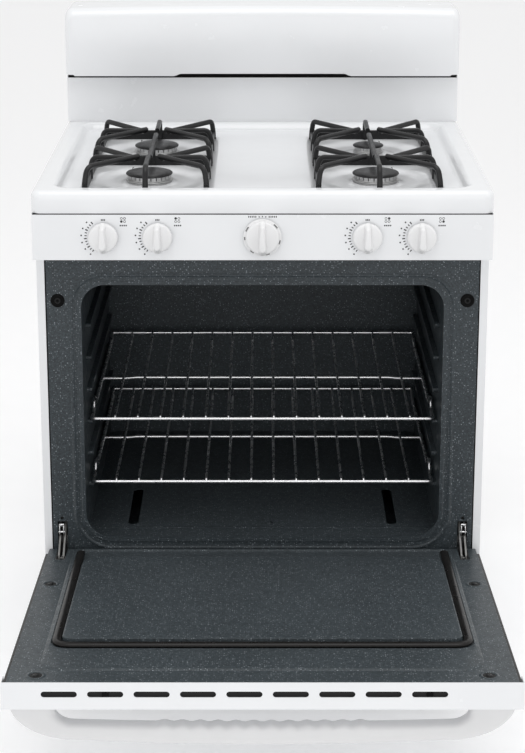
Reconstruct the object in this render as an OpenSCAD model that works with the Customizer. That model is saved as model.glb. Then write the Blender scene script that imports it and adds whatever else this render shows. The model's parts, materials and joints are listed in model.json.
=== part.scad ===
// Freestanding gas range with its oven door resting open.
// Millimetres, +Z up, the front faces -Y, the origin is on the floor under the middle of the object.

/* [Body] */
// Width over the side panels
body_w = 756; // [740:1:758]
// Width of the cooktop
cooktop_w = 759; // [756:1:764]
// Height of the cooktop rim above the floor
cooktop_z = 921; // [915:1:925]
// Depth of the body behind the front frame
body_d = 648; // [630:1:660]
// Height of the top of the backguard canopy
canopy_z = 1147; // [1120:1:1160]

/* [Door] */
// Width of the oven door
door_w = 754; // [740:1:756]
// Thickness of the oven door
door_t = 41; // [38:1:42]
// Length of the door above its hinge axis
door_top = 538; // [530:1:540]
// Angle between the closed door and the open door, in degrees
door_open = 85.5; // [80:0.5:88]

/* [Oven] */
// Width of the oven cavity
oven_w = 610; // [600:1:612]
// Height of the lower edge of the oven mouth
oven_z0 = 291.5; // [290:0.5:293]
// Height of the upper edge of the oven mouth
oven_z1 = 750; // [740:1:755]
// Depth of the oven cavity
oven_d = 525; // [515:1:530]
// Number of rack positions
rack_levels = 6; // [4:1:6]

/* [Burners] */
// Distance from the middle to the burner centres
burner_x = 194; // [190:1:198]
// Distance of the front burners behind the front frame
burner_y0 = 117; // [114:1:120]
// Distance of the rear burners behind the front frame
burner_y1 = 348; // [344:1:352]
// Height of the top of the grates
grate_z = 945; // [940:1:950]

/* [Drawer] */
// Depth of the drawer box
drawer_d = 430; // [400:1:450]

/* [Hidden] */
$fn = 48;
sheet = 2;
front_y = -42.75;
half_w = body_w / 2;
top_half = cooktop_w / 2;
door_half = door_w / 2;
oven_half = oven_w / 2;
lip_h = 36.6;
lip_z = cooktop_z - lip_h;
panel_y = -42;
panel_z0 = 805;
base_z = 30;
frame_half = 360;
frame_z0 = 232;
frame_z1 = 803;
hinge_y = -24;
hinge_z = 262;
door_in = 14;
door_out = door_in - door_t;
door_low = -18;
floor_z = 291;
rack_x = 300;
rack_y0 = 58;
rack_y1 = 505;
rack_z0 = 374;
rack_pitch = 58.5;
wire_pitch = 39.5;
deck_z = 909;
riser_y = 551;
canopy_y = 527;
canopy_z0 = 1013;
knob_z = 844.5;
knob_xs = [-261, -172, 0, 172, 261];
oven_knob = 2;
cap_z = 915;
stem_r = 3;
running = 0.05;
knuckle = 0.3;
burners = [[-1, 0], [1, 0], [-1, 1], [1, 1]];
leg_x = 352;
leg_ys = [30, 618];
insulation_t = 24;
gas_z = 845;
inlet_x = 250;
inlet_z = 110;

KNOB_NAMES = ["1", "2", "oven", "3", "4"];
CAP_NAMES = ["front_left", "front_right", "rear_left", "rear_right"];

// ---- places and helpers -------------------------------------------------------------------

// y is counted from the face of the front frame.
module from_front() translate([0, front_y, 0]) children();

// In the door, y points out of its inner face and z from the hinge axis to the handle.
module on_door() from_front() translate([0, hinge_y, hinge_z]) rotate([door_open, 0, 0]) children();

module both_sides() {
    children();
    mirror([1, 0, 0]) children();
}

// A plate that faces front, drawn as x and z, from y back by t.
module plate_y(y, t) translate([0, y + t, 0]) rotate([90, 0, 0]) linear_extrude(t) children();

// A plate that faces sideways, drawn as y and z, from x by t.
module plate_x(x, t) translate([x, 0, 0]) rotate([90, 0, 90]) linear_extrude(t) children();

// A level plate, from z up by t.
module plate_z(z, t) translate([0, 0, z]) linear_extrude(t) children();

module box(low, high) translate(low) cube(high - low);

// A rectangle with lower corners of radius r0 and upper corners of radius r1.
module rounded(low, high, r0, r1) {
    w = high.x - low.x;
    h = high.y - low.y;
    translate([low.x, low.y + r0]) square([w, h - r0 - r1]);
    translate([low.x + r0, low.y]) square([w - 2 * r0, h / 2]);
    translate([low.x + r1, low.y + h / 2]) square([w - 2 * r1, h / 2]);
    for (x = [low.x + r0, high.x - r0]) translate([x, low.y + r0]) circle(r0);
    for (x = [low.x + r1, high.x - r1]) translate([x, high.y - r1]) circle(r1);
}

// A slot with round ends along the first axis.
module slot2d(length, width) {
    square([length - width, width], center = true);
    for (s = [-1, 1]) translate([s * (length - width) / 2, 0]) circle(width / 2);
}

// A round bar from a to b.
module bar(a, b, r) {
    d = b - a;
    length = norm(d);
    translate(a) rotate([0, acos(d.z / length), atan2(d.y, d.x)]) cylinder(h = length, r = r);
}

// A round bar bent along points, with a slightly thicker ball at each bend.
module bent_bar(points, r) {
    for (i = [1 : len(points) - 1]) bar(points[i - 1], points[i], r);
    if (len(points) > 2) for (i = [1 : len(points) - 2]) translate(points[i]) sphere(r + knuckle);
}

function burner_pos(b) = [b.x * burner_x, b.y == 0 ? burner_y0 : burner_y1, 0];
function cap_r(i) = i == 3 ? 28 : 40;

// ---- body ---------------------------------------------------------------------------------

module side_panel() {
    plate_x(half_w - sheet, sheet) translate([0, base_z + 4]) square([body_d - sheet, lip_z - base_z - 5]);
    box([half_w - 13, 0, base_z + 4], [half_w, sheet, lip_z - 1]);
    box([half_w - 20, body_d - 2 * sheet, base_z + 4], [half_w, body_d - sheet, lip_z - 1]);
}

module side_panel_left() color("white") from_front() mirror([1, 0, 0]) side_panel();

module side_panel_right() color("white") from_front() side_panel();

module back_panel() color("silver") from_front() plate_y(body_d - sheet, sheet) difference() {
    translate([-half_w + 2, base_z + 12]) square([body_w - 4, lip_z - base_z - 12]);
    translate([inlet_x, inlet_z]) circle(45);
    translate([-300, 140]) circle(11);
    for (i = [-4 : 4], z = [820, 842]) translate([i * 62, z]) slot2d(44, 6);
}

module base_frame() color("dimgray") from_front() {
    both_sides() {
        difference() {
            box([330, sheet + 2, base_z], [half_w - sheet - 1, body_d - 2 * sheet - 1, base_z + 3]);
            for (y = leg_ys) translate([leg_x, y, base_z - 1]) cylinder(h = 5, r = 5 + running);
        }
        box([half_w - sheet - 4, sheet + 2, base_z + 3], [half_w - sheet - 1, body_d - 2 * sheet - 1, 75]);
    }
    box([-330, sheet + 2, base_z], [330, 44, base_z + 3]);
    box([-330, 600, base_z], [330, body_d - 2 * sheet - 1, base_z + 3]);
    box([-372, 596, base_z + 3], [372, 599, 70]);
}

module front_frame() color("darkslategray") from_front() difference() {
    union() {
        plate_y(0, 3) difference() {
            translate([-frame_half, frame_z0]) square([2 * frame_half, frame_z1 - frame_z0]);
            rounded([-oven_half, oven_z0], [oven_half, oven_z1], 48, 40);
        }
        both_sides() box([frame_half - sheet, 3, frame_z0], [frame_half, 30, frame_z1]);
        box([-frame_half, 3, frame_z1 - sheet], [frame_half, 24, frame_z1]);
    }
    // a shallow step round the oven mouth
    plate_y(-1, 2) difference() {
        rounded([-oven_half - 12, oven_z0 - 12], [oven_half + 12, oven_z1 + 12], 58, 50);
        rounded([-oven_half - 4, oven_z0 - 4], [oven_half + 4, oven_z1 + 4], 52, 44);
    }
    both_sides() {
        plate_y(-1, 5) translate([344, 723]) circle(11.5);
        plate_y(-1, 5) translate([347, 330]) circle(3);
        plate_y(-1, 5) translate([338, 258]) square([17, 66]);
    }
}

// ---- oven ---------------------------------------------------------------------------------

burner_box_z = 236;

module oven_liner() color("darkslategray") from_front() {
    difference() {
        plate_y(3.2, oven_d + sheet - 3.2)
            rounded([-oven_half - sheet, burner_box_z], [oven_half + sheet, oven_z1 + sheet], 4, 42);
        plate_y(2, oven_d - 2) rounded([-oven_half, burner_box_z + sheet], [oven_half, oven_z1], 2, 40);
        plate_y(oven_d - 1, 6) translate([0, 262]) circle(16);
        plate_z(oven_z1 - 1, 5) translate([0, 470]) slot2d(160, 30);
        plate_z(burner_box_z - 1, 5) translate([-180, 90]) square([360, 380]);
    }
    box([-oven_half, 3.2, burner_box_z], [oven_half, 5.2, floor_z - 2]);
    box([-oven_half, 3.2, floor_z - 4], [oven_half, 62, floor_z - 2]);
    both_sides() box([282, 60, floor_z - 4], [oven_half + 1, oven_d, floor_z - 2]);
    both_sides() for (k = [0 : rack_levels - 1]) oven_rack_ledge(rack_z0 + k * rack_pitch);
}

module oven_rack_ledge(z) plate_x(oven_half - 9, 10)
    translate([(rack_y0 + rack_y1) / 2, z - 7.4]) slot2d(440, 8);

module oven_floor() color("darkslategray") from_front() plate_z(floor_z - 1.9, 1.9) difference() {
    translate([-292, 50]) square([584, oven_d - 55]);
    for (s = [-1, 1]) translate([s * 229, 143.5]) rotate(90) slot2d(161, 18);
    translate([15, 70]) circle(4);
}

module bake_burner() color("gray") from_front() {
    difference() {
        translate([0, 560, 262]) rotate([90, 0, 0]) cylinder(h = 470, r = 14);
        translate([0, 561, 262]) rotate([90, 0, 0]) cylinder(h = 465, r = 12);
        for (i = [0 : 18], s = [-1, 1]) bar([0, 110 + i * 20, 262], [s * 20, 110 + i * 20, 262], 1.6);
    }
    box([-90, 100, 277], [90, 480, 279]);
    for (y = [150, 430]) box([-12, y, 274], [12, y + 20, 277.5]);
}

module oven_insulation() color("khaki") from_front() difference() {
    box([-334, 8, burner_box_z + 4], [334, oven_d + insulation_t, oven_z1 + insulation_t]);
    plate_y(7, oven_d + sheet - 6)
        rounded([-oven_half - 3, burner_box_z - 4], [oven_half + 3, oven_z1 + 3], 2, 43);
    plate_y(oven_d, 60) translate([0, 262]) circle(17);
    box([-97, 438, oven_z1], [97, 502, oven_z1 + 60]);
    box([-200, 0, 200], [200, 700, burner_box_z + 8]);
}

module oven_probe() color("silver") from_front() {
    bar([-130, 500, 728], [110, 500, 728], 3);
    bent_bar([[-130, 500, 728], [-150, 505, 728], [-150, oven_d - 0.2, 728]], 1.5);
    for (x = [-90, 70]) box([x, 499, 730.5], [x + 8, 501, oven_z1 - 0.2]);
}

module vent_duct() color("silver") from_front() difference() {
    box([-95, 440, oven_z1 + 2.2], [95, 500, 800]);
    box([-93, 442, oven_z1], [93, 498, 798]);
    box([-93, 480, 770], [93, 520, 790]);
}

// ---- cooktop ------------------------------------------------------------------------------

// The outer form of the cooktop, grown inwards by g.
module cooktop_form(g) intersection() {
    plate_z(lip_z - 1 + g, lip_h + 1 - 2 * g) difference() {
        translate([-top_half + g, panel_y + g]) square([cooktop_w - 2 * g, body_d - panel_y - 2 * g]);
        for (s = [0, 1]) mirror([s, 0, 0]) difference() {
            translate([top_half - 15, panel_y - 1]) square([20, 16]);
            translate([top_half - 15, panel_y + 15]) circle(15 - g);
        }
    }
    plate_y(panel_y, body_d - panel_y)
        rounded([-top_half + g, lip_z - 9], [top_half - g, cooktop_z - g], 2, 9 - g);
    plate_x(-top_half, cooktop_w) rounded([panel_y + g, lip_z - 9], [body_d + 20, cooktop_z - g], 2, 9 - g);
}

module burner_well(b) translate(burner_pos(b) + [0, 0, deck_z - 10]) cylinder(h = 11, r1 = 62, r2 = 104);

module cooktop_hollows(g) {
    plate_z(deck_z - g, 30) rounded([-345 - g, -12 - g], [345 + g, 540 + g], 25 + g, 12 + g);
    for (s = [-1, 1]) translate([s * burner_x, 0, 0])
        plate_z(deck_z - 5 - g, 30) rounded([-118 - g, -2 - g], [118 + g, 468 + g], 14 + g, 14 + g);
    for (b = burners) translate([0, 0, -g]) burner_well(b);
}

module cooktop() color("white") from_front() difference() {
    cooktop_form(0);
    cooktop_hollows(0);
    difference() {
        translate([0, 0, -3]) cooktop_form(sheet);
        cooktop_hollows(sheet);
    }
    box([-top_half, panel_y + sheet, lip_z - 3], [top_half, body_d, lip_z]);
    box([-330, riser_y + 20, lip_z - 3], [330, 632, cooktop_z + 1]);
    for (b = burners) translate(burner_pos(b)) translate([0, 0, 880]) cylinder(h = 40, r = 17);
    for (b = burners) translate(burner_pos(b)) translate([b.x * 49, 0, 880]) cylinder(h = 40, r = 4.5);
}

module burner_bases() color("silver") from_front() for (b = burners) translate(burner_pos(b)) difference() {
    union() {
        translate([0, 0, deck_z - 9.9]) cylinder(h = 5, r = cap_r(b.x > 0 && b.y > 0 ? 3 : 0) - 1.5);
        translate([0, 0, 862]) cylinder(h = 40, r = 15);
        bar([0, 0, 872], [0, b.y == 0 ? -62 : -150, 872], 11);
    }
    translate([0, 0, 866]) cylinder(h = 60, r = 12);
    bar([0, 0, 872], [0, b.y == 0 ? -63 : -151, 872], 8);
}

module burner_head(r) difference() {
    translate([0, 0, deck_z - 4.8]) cylinder(h = 10.7, r = r);
    translate([0, 0, deck_z - 5]) cylinder(h = 20, r = 12);
    for (i = [0 : 23]) rotate(i * 15) box([r - 7, -1, deck_z + 1], [r + 1, 1, deck_z + 10]);
}

module burner_heads() color("silver") from_front()
    for (i = [0 : 3]) translate(burner_pos(burners[i])) burner_head(cap_r(i) - 3);

module spark_electrodes() color("white") from_front() for (b = burners)
    translate(burner_pos(b)) translate([b.x * 49, 0, 0]) {
        translate([0, 0, 886]) cylinder(h = 26, r = 3.5);
        translate([0, 0, 911]) cylinder(h = 5, r = 1.2);
    }

module burner_cap(i) color("black") from_front() translate(burner_pos(burners[i])) {
    r = cap_r(i);
    translate([0, 0, cap_z + 0.1]) rotate_extrude()
        polygon([[0, 0], [r - 0.8, 0], [r, 0.8], [r - 0.6, 2.6], [r - 5, 4.4], [0, 4.9]]);
    translate([0, 0, cap_z - 5]) cylinder(h = 6, r = 9);
}

// ---- grates -------------------------------------------------------------------------------

grate_half = 101;
finger_t = 8;
grate_ys = [8, 231, 458];
web_t = 5;
web_z0 = 904.4;
web_z1 = 922;

// A finger from the frame at a to a tip at b: its side outline, extruded to its thickness.
module finger(a, b) {
    d = b - a;
    reach = norm(d);
    low = grate_z - finger_t;
    translate([a.x, a.y, 0]) rotate([0, 0, atan2(d.y, d.x)]) plate_y(-finger_t / 2, finger_t) polygon([
        [-4, web_z0 + 2], [4, web_z0 + 2], [4, low - 10], [12, low], [reach, low], [reach, grate_z],
        [9, grate_z], [-4, grate_z - 15]
    ]);
}

module burner_fingers(y, y_low, y_high) for (s = [-1, 1]) {
    finger([s * grate_half, y], [s * 19, y]);
    finger([s * grate_half, y_low], [s * 24, y - 9]);
    finger([s * grate_half, y_high], [s * 24, y + 9]);
}

module grate() {
    for (s = [-1, 1]) translate([s * grate_half, 0, 0])
        box([-web_t / 2, grate_ys[0], web_z0], [web_t / 2, grate_ys[2], web_z1]);
    for (y = grate_ys) translate([0, y, 0])
        box([-grate_half, -web_t / 2, web_z0], [grate_half, web_t / 2, web_z1]);
    burner_fingers(burner_y0, 18, 216);
    burner_fingers(burner_y1, 242, 453);
    finger([0, grate_ys[0]], [0, burner_y0 - 19]);
    finger([0, grate_ys[2]], [0, burner_y1 + 19]);
    half = finger_t / 2;
    box([-half, burner_y0 + 19, grate_z - finger_t], [half, burner_y1 - 19, grate_z]);
    box([-half, grate_ys[1] - half, web_z0 + 2], [half, grate_ys[1] + half, grate_z - 1]);
}

module grate_left() color("black") from_front() translate([-burner_x, 0, 0]) grate();

module grate_right() color("black") from_front() translate([burner_x, 0, 0]) grate();

// ---- backguard ----------------------------------------------------------------------------

module backguard() color("white") from_front() {
    x = 377.5;
    z0 = cooktop_z + 0.2;
    difference() {
        box([-x, riser_y, z0], [x, body_d, 1010]);
        box([-x + sheet, riser_y + sheet, z0 - 1], [x - sheet, body_d - sheet, 1010 - sheet]);
        box([-160, riser_y + 20, 1000], [160, riser_y + 60, 1020]);
    }
}

module canopy_form(g) intersection() {
    plate_y(canopy_y + g, body_d - canopy_y - 2 * g)
        rounded([-door_half + g, canopy_z0 + g - 9], [door_half - g, canopy_z - g], 2, 20 - g);
    plate_x(-door_half, door_w)
        rounded([canopy_y + g, canopy_z0 - 9], [body_d - g, canopy_z - g], 2, 20 - g);
    box([-door_half, canopy_y, canopy_z0 + g], [door_half, body_d, canopy_z]);
}

module backguard_canopy() color("white") from_front() difference() {
    canopy_form(0);
    translate([0, 0, -4]) canopy_form(sheet);
    // the vent outlet is wider in the middle
    plate_y(canopy_y - 1, 30)
        polygon([for (p = [[-170, -1], [-160, 4.5], [160, 4.5], [170, -1]]) p + [0, canopy_z0]]);
    box([-door_half + sheet, riser_y, canopy_z0 - 1], [door_half - sheet, body_d - sheet, canopy_z0 + 10]);
}

// ---- controls and gas ---------------------------------------------------------------------

module control_panel() color("white") from_front() difference() {
    box([-378.5, panel_y, panel_z0], [378.5, -1, lip_z - 1.4]);
    box([-376.5, panel_y + sheet, panel_z0 + sheet], [376.5, 0, lip_z - 3.4]);
    for (x = knob_xs) plate_y(panel_y - 1, 5) translate([x, knob_z]) circle(6.5);
}

module valve_stem(i) color("silver") from_front() translate([knob_xs[i], 0, knob_z]) {
    translate([0, -9, 0]) rotate([90, 0, 0]) cylinder(h = 53.3, r = stem_r);
    translate([0, -32, 0]) rotate([90, 0, 0]) cylinder(h = 3, r = 5);
}

module knob(i) color("white") from_front() translate([knob_xs[i], -46, knob_z]) rotate([90, 0, 0]) {
    r = i == oven_knob ? 28 : 24.5;
    difference() {
        union() {
            if (i == oven_knob) cylinder(h = 2.5, r = 31.5);
            rotate_extrude() polygon([[0, 0], [r, 0], [r, 7], [r - 1.5, 9], [0, 10.5]]);
            knob_grip(r - 1);
        }
        translate([0, 0, -1]) cylinder(h = 17.5, r = stem_r + running);
    }
}

// The bar that the fingers hold, narrower at its upper end.
module knob_grip(r) linear_extrude(26) {
    polygon([[-8.5, -r + 3], [8.5, -r + 3], [5, r - 3], [-5, r - 3]]);
    translate([0, -r + 8.5]) circle(8.5);
    translate([0, r - 5]) circle(5);
}

module valve_body(r, height) difference() {
    union() {
        translate([0, 5.8, 0]) rotate([90, 0, 0]) cylinder(h = 34, r = r);
        box([-7, -20, 0], [7, 5.8, height]);
    }
    translate([0, -4, 0]) rotate([90, 0, 0]) cylinder(h = 30, r = stem_r + running);
}

module valve_bodies() color("goldenrod") from_front() for (i = [0 : 4])
    translate([knob_xs[i], 0, knob_z]) valve_body(i == oven_knob ? 20 : 13, i == oven_knob ? 26 : 22);

module gas_manifold() color("silver") from_front() difference() {
    union() {
        bar([-320, 15.2, gas_z], [320, 15.2, gas_z], 9);
        for (x = [-320, 312]) bar([x, 15.2, gas_z], [x + 8, 15.2, gas_z], 11);
    }
    bar([-300, 15.2, gas_z], [300, 15.2, gas_z], 7);
}

module pressure_regulator() color("silver") from_front() translate([inlet_x, 0, inlet_z]) difference() {
    union() {
        box([-24, 560, -20], [24, 610, 20]);
        translate([0, 622, 0]) rotate([90, 0, 0]) cylinder(h = 14, r = 17);
        translate([0, 585, 20]) cylinder(h = 24, r = 26);
    }
    translate([0, 623, 0]) rotate([90, 0, 0]) cylinder(h = 31, r = 10.3);
}

// A tube along points, with a square elbow fitting at each bend.
module gas_line(points, r) {
    for (i = [1 : len(points) - 1]) bar(points[i - 1], points[i], r);
    for (i = [1 : len(points) - 2]) translate(points[i]) cube(2.9 * r, center = true);
}

module gas_tubes() color("goldenrod") from_front() {
    bar([inlet_x, 560, inlet_z], [inlet_x, 540, inlet_z], 7.2);
    gas_line([
        [inlet_x, 552, inlet_z], [354, 552, inlet_z], [354, 560, 200], [354, 560, 800],
        [354, 60, 800], [354, 15.2, 830], [354, 15.2, gas_z], [320.2, 15.2, gas_z]
    ], 6.8);
    for (b = burners) {
        x = b.x * (b.y == 0 ? 261 : 172);
        mouth = b.y == 0 ? burner_y0 - 62 : burner_y1 - 150;
        gas_line([
            [x, -7, knob_z + 22.1], [x, -7, 876], [x, mouth - 40, 876],
            [b.x * burner_x, mouth - 12, 872], [b.x * burner_x, mouth - 4, 872]
        ], 3);
    }
    gas_line([
        [0, -7, knob_z + 26.1], [0, -7, 875.5], [0, 25, 875.5], [0, 25, 885], [-345, 60, 885],
        [-345, 575, 800], [-345, 575, 262], [0, 575, 262], [0, 562, 262]
    ], 3);
}

module power_inlet() color("black") from_front()
    translate([-300, body_d, 140]) rotate([90, 0, 0]) difference() {
    union() {
        translate([0, 0, sheet + 0.1]) cylinder(h = 10, r = 15);
        translate([0, 0, 0]) cylinder(h = 5, r = 10.8);
    }
    translate([0, 0, -1]) cylinder(h = 20, r = 4);
}

module panel_screws() color("gray") from_front() {
    for (x = [-366, 366], z = [70, 250, 430, 610, 790]) translate([x, body_d - 0.2, z]) rotate([90, 0, 0]) {
        translate([0, 0, sheet - 1.7]) cylinder(h = 8, r = 1.6);
    }
}

// ---- hinges -------------------------------------------------------------------------------

module hinge_plate(x, t) plate_x(x, t) difference() {
    polygon([
        [26, 318], [26, 292], [4, 290], [-16, 258], [-24, 255],
        [-32, 256], [-40, 266], [-36, 276], [4, 304], [14, 318]
    ]);
    translate([18, 302]) circle(3.2);
}

module hinge_arms() color("silver") from_front() both_sides() {
    for (x = [341, 349]) hinge_plate(x, 3);
    translate([336, hinge_y, hinge_z]) rotate([0, 90, 0]) cylinder(h = 21, r = 4);
    translate([343, -30, 268]) rotate([0, 90, 0]) cylinder(h = 7, r = 3);
    difference() {
        box([336, 26, 286], [frame_half - sheet - 0.2, 29, 326]);
        plate_y(25, 5) translate([346.5, 322]) circle(2);
    }
}

module hinge_channels() color("silver") on_door() both_sides() difference() {
    union() {
        for (x = [336.5, 354]) plate_x(x, 2.5) translate([-20, -10]) square([31.5, 330]);
        box([336.5, -22, -10], [356.5, -20, 320]);
        box([336.5, -20, 60], [356.5, 11.5, 63]);
    }
    translate([330, 0, 0]) rotate([0, 90, 0]) cylinder(h = 40, r = 4 + running);
    box([345, -30, 55], [348, 6, 70]);
    box([339, -8, 59], [354, -4, 64]);
    translate([346.5, -6, 50]) cylinder(h = 20, r = 4);
}

rod_u = 46;

module hinge_rods() color("silver") on_door() both_sides() {
    translate([346.5, -6, rod_u]) cylinder(h = 190, r = 3);
    translate([346.5, -6, rod_u + 180]) cylinder(h = 4, r = 7);
}

module hinge_springs() color("gray") on_door() both_sides() translate([346.5, -6, 64]) difference() {
    union() for (i = [0 : 15]) translate([0, 0, i * 10]) cylinder(h = 6, r = 6.5);
    translate([0, 0, -1]) cylinder(h = 180, r = 3.6);
}

// ---- door ---------------------------------------------------------------------------------

side_ledge = 4;
inner_half = 369.7;

module door_outer_panel() color("white") on_door() difference() {
    box([-door_half, door_out, door_low], [door_half, door_in, door_top]);
    box([-door_half + 1.5, door_out + 1.5, door_low + 1.5], [door_half - 1.5, door_in + 1, door_top - 1.5]);
    for (s = [0, 1]) mirror([s, 0, 0])
        box([inner_half + 0.3, side_ledge - 1.7, door_low - 1], [door_half + 1, door_in + 1, door_top - 24]);
    box([-door_half - 1, side_ledge - 1.7, door_low - 1], [door_half + 1, door_in + 1, door_low + 3]);
    for (i = [0 : 8])
        translate([-26 + (i - 4) * 66.8, door_in - 18, 0]) plate_z(door_top - 3, 5) slot2d(52, 9);
}

plateau_half = 307;
plateau_top = 402;

module door_inner_panel() color("darkslategray") on_door() difference() {
    union() {
        box([-inner_half, door_in - 1.8, door_low], [inner_half, door_in, door_top - 1.7]);
        both_sides() {
            box([inner_half - 1.8, side_ledge - 1.5, door_low], [inner_half, door_in - 1, door_top - 24.2]);
            box([inner_half - 1, side_ledge - 1.5, door_low], [door_half, side_ledge, door_top - 24.2]);
        }
        plate_y(door_in - 1, 10.5) rounded([-plateau_half, 8], [plateau_half, plateau_top], 50, 12);
        door_ridge();
    }
    plate_y(door_in - 5, 12.6) rounded([-plateau_half + 2, 10], [plateau_half - 2, plateau_top - 2], 48, 10);
    both_sides() {
        box([338, side_ledge, door_low - 1], [355, door_in + 1, 35]);
        for (p = [[349, 150], [329, 513]]) plate_y(door_in - 0.9, 2) translate(p) circle(5);
    }
}

// A low line pressed round the field of the door.
module door_ridge() plate_y(door_in - 1, 1.8) difference() {
    rounded([-330, -10], [330, 496], 20, 30);
    rounded([-324, -4], [324, 490], 14, 24);
}

module door_insulation() color("khaki") on_door() box([-330, door_out + 2, 60], [330, door_in - 2.2, 520]);

module door_gasket() color("black") on_door() plate_y(door_in + 0.1, 6) difference() {
    rounded([-plateau_half - 12.5, 20], [plateau_half + 12.5, plateau_top + 12.5], 4, 24);
    rounded([-plateau_half - 0.3, 8], [plateau_half + 0.3, plateau_top + 0.3], 50, 12.3);
    translate([-280, 0]) square([560, 100]);
}

// The handle stands off the outer face, near the top edge of the door.
module handle_outline(inset) polygon(concat(
    [for (a = [0 : 6 : 90]) [302 + (67 - inset) * cos(a), -(58 - inset) * sin(a)]],
    [for (i = [-10 : 10]) [-i * 30, -58 + inset - 6 * cos(i * 9)]],
    [for (a = [90 : -6 : 0]) [-302 - (67 - inset) * cos(a), -(58 - inset) * sin(a)]]
));

module door_handle() color("white") on_door()
    translate([0, door_out - 0.1, 494]) plate_z(0, 30) difference() {
    handle_outline(0);
    intersection() {
        handle_outline(28);
        translate([-302, -60]) square([604, 60]);
    }
    translate([-302, -20]) square([604, 21]);
}

// ---- drawer -------------------------------------------------------------------------------

module drawer_front() color("white") from_front() difference() {
    box([-door_half, -46, 40], [door_half, -3, 226]);
    box([-door_half + 2, -44, 42], [door_half - 2, -2, 224]);
}

module drawer_box() color("dimgray") from_front() difference() {
    union() {
        box([-322, -5, 50], [322, drawer_d, 170]);
        box([-360, -5, 60], [360, -3, 205]);
    }
    box([-320, -1, 52], [320, drawer_d - 2, 171]);
}

module drawer_rails() color("silver") from_front() both_sides() {
    box([324, 20, 96], [330, 500, 116]);
    box([328, 20, 33.2], [338, 500, 98]);
}

module broiler_pan() color("dimgray") from_front() difference() {
    box([-205, 40, 52.2], [205, 380, 92]);
    box([-203, 42, 54.2], [203, 378, 93]);
}

module broiler_grid() color("dimgray") from_front() difference() {
    box([-208, 37, 92.2], [208, 383, 95]);
    for (i = [0 : 14], j = [0 : 3])
        translate([-182 + i * 26, 90 + j * 80, 0]) plate_z(90, 8) rotate(90) slot2d(60, 7);
}

// ---- racks --------------------------------------------------------------------------------

module rack(z) color("silver") from_front() {
    r = 3;
    side = rack_x - r;
    for (s = [-1, 1]) bent_bar([[s * side, rack_y0, z], [s * side, 490, z], [s * side, rack_y1, z + 16]], r);
    for (p = [[rack_y0, z], [272, z], [rack_y1, z + 16]])
        bar([-side, p.x, p.y], [side, p.x, p.y], r - 0.2);
    for (s = [-1, 1], p = [[rack_y0, z], [rack_y1, z + 16]])
        translate([s * side, p.x, p.y]) sphere(r + knuckle);
    for (i = [0 : 13]) {
        x = (i - 6.5) * wire_pitch;
        bent_bar([[x, rack_y0, z + 4], [x, 488, z + 4], [x, rack_y1, z + 16]], 1.5);
    }
}

module rack_upper() rack(rack_z0 + 2 * rack_pitch);

module rack_lower() rack(rack_z0);

// ---- feet ---------------------------------------------------------------------------------

module leveling_leg(i) color("dimgray") from_front()
    translate([burners[i].x * leg_x, leg_ys[burners[i].y], 0]) {
        cylinder(h = 8, r = 16);
        cylinder(h = 48, r = 5);
        translate([0, 0, 8]) cylinder(h = 8, r = 9, $fn = 6);
    }

// ---- the nodes ----------------------------------------------------------------------------

side_panel_left();
side_panel_right();
back_panel();
base_frame();
front_frame();
oven_liner();
oven_floor();
bake_burner();
oven_insulation();
cooktop();
burner_bases();
burner_heads();
spark_electrodes();
backguard();
backguard_canopy();
control_panel();
gas_manifold();
valve_bodies();
pressure_regulator();
gas_tubes();
hinge_arms();
drawer_rails();
panel_screws();
vent_duct();
oven_probe();
power_inlet();
door_outer_panel();
door_inner_panel();
door_insulation();
door_gasket();
door_handle();
hinge_channels();
hinge_rods();
hinge_springs();
drawer_front();
drawer_box();
broiler_pan();
broiler_grid();
rack_upper();
rack_lower();
grate_left();
grate_right();
burner_cap(0);  // burner_cap_front_left
burner_cap(1);  // burner_cap_front_right
burner_cap(2);  // burner_cap_rear_left
burner_cap(3);  // burner_cap_rear_right
valve_stem(0);  // valve_stem_1
valve_stem(1);  // valve_stem_2
valve_stem(2);  // valve_stem_oven
valve_stem(3);  // valve_stem_3
valve_stem(4);  // valve_stem_4
knob(0);  // knob_1
knob(1);  // knob_2
knob(2);  // knob_oven
knob(3);  // knob_3
knob(4);  // knob_4
leveling_leg(0);  // leveling_leg_front_left
leveling_leg(1);  // leveling_leg_front_right
leveling_leg(2);  // leveling_leg_rear_left
leveling_leg(3);  // leveling_leg_rear_right
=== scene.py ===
import json
import math

import bmesh
import bpy
import numpy as np
from mathutils import Matrix, Vector


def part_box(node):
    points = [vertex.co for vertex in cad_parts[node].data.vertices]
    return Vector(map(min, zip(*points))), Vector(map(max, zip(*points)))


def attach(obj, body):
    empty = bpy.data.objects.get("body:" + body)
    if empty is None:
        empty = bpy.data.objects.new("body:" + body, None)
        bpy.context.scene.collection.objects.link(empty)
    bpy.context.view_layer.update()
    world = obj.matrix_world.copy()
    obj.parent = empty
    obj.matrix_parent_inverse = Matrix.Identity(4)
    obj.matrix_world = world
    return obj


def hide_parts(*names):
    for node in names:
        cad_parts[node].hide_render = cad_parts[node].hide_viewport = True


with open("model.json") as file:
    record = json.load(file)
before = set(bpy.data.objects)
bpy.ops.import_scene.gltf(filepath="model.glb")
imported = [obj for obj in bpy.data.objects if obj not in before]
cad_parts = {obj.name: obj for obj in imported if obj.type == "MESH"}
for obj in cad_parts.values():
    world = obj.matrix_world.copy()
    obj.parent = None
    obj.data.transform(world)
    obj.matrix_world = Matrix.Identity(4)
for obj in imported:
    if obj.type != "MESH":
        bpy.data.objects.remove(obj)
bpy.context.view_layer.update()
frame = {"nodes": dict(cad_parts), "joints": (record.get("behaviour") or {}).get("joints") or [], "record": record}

# ---- places taken from the frame ----
# Lengths are in millimetres. y is counted from the face of the front frame, z from the floor.

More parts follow.
